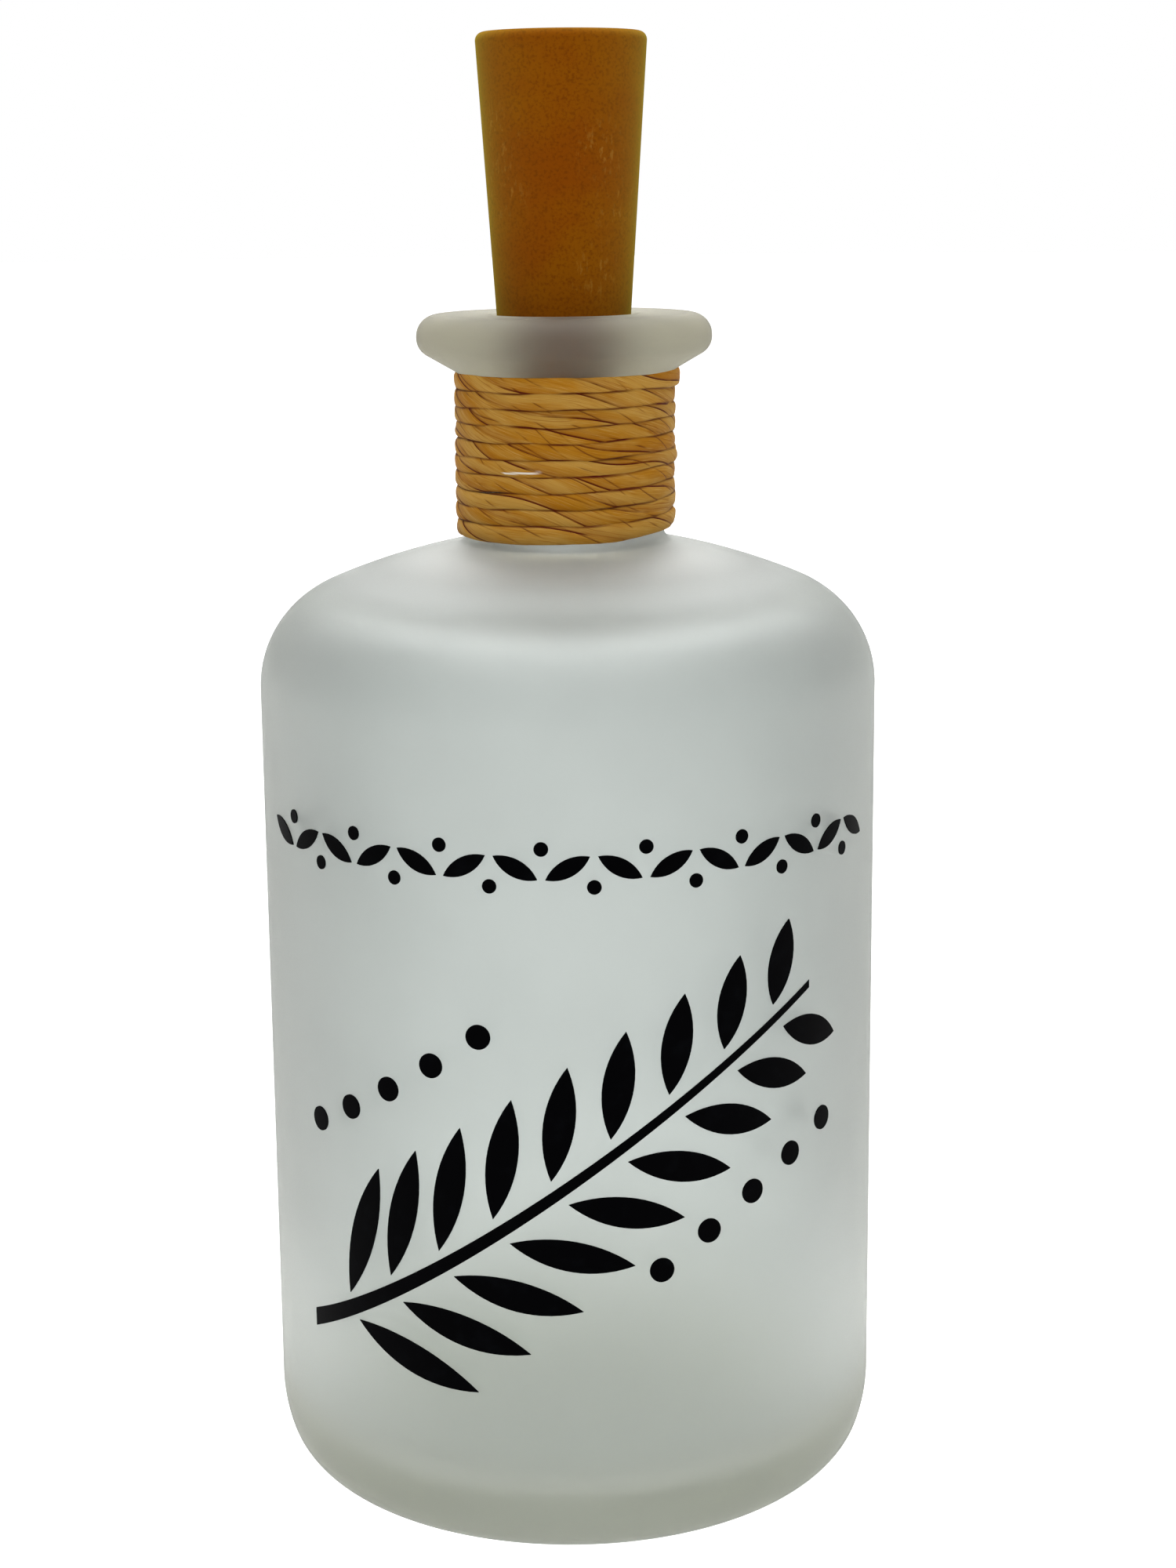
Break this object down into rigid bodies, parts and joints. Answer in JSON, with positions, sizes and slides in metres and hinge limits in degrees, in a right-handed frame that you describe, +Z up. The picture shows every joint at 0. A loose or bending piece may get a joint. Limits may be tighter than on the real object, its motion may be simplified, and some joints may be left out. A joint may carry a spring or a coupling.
{
  "type": "bottle light",
  "caption": "Frosted glass bottle with a twine-wound neck, closed by a tapered cork-coloured stopper that lifts out and holds a battery core, slide switch and lamp.",
  "frame": {"origin": "middle of the bottle's base, on the surface it stands on", "axes": "+Z up along the bottle's axis, -Y towards the front with the film, +X to the right seen from the front"},
  "size_m": [0.082, 0.0822, 0.1929],
  "materials": {
    "frosted_glass": "satin",
    "raffia": "matte",
    "black_film": "satin",
    "cork_plastic": "satin",
    "clear_plastic": "gloss",
    "cap_plastic": "satin",
    "screw_steel": "plated",
    "carrier_plastic": "moulded",
    "cell_steel": "nickel plated",
    "spring_steel": "plated",
    "contact_steel": "plated",
    "strip_brass": "rolled",
    "switch_case": "moulded",
    "pin_steel": "tinned",
    "knob_plastic": "moulded",
    "board_green": "lacquered",
    "lamp_resin": "gloss",
    "resistor_body": "satin"
  },
  "bodies": {
    "bottle": {"glass_bottle": "frosted_glass", "neck_twine": "raffia", "vinyl_decal": "black_film"},
    "stopper": {"cork_sleeve": "cork_plastic", "lens": "clear_plastic"},
    "battery_core": {"top_cap": "cap_plastic", "cap_screws": "screw_steel", "battery_carrier": "carrier_plastic", "button_cell_1": "cell_steel", "button_cell_2": "cell_steel", "button_cell_3": "cell_steel", "cell_spring": "spring_steel", "spring_plate": "contact_steel", "positive_contact": "contact_steel", "positive_strip": "strip_brass", "negative_strip": "strip_brass", "switch_housing": "switch_case", "switch_terminals": "pin_steel", "circuit_board": "board_green", "led": "lamp_resin", "led_leads": "pin_steel", "resistor": "resistor_body"},
    "switch": {"switch_slider": "knob_plastic"}
  },
  "joints": [
    {"name": "stopper_lift", "type": "slide", "parent": "bottle", "child": "stopper", "axis": [0, 0, 1], "range_m": [0, 0.03]},
    {"name": "core_pull", "type": "slide", "parent": "stopper", "child": "battery_core", "axis": [0, 0, 1], "range_m": [0, 0.055]},
    {"name": "switch_slide", "type": "slide", "parent": "battery_core", "child": "switch", "axis": [1, 0, 0], "range_m": [0, 0.002]}
  ]
}
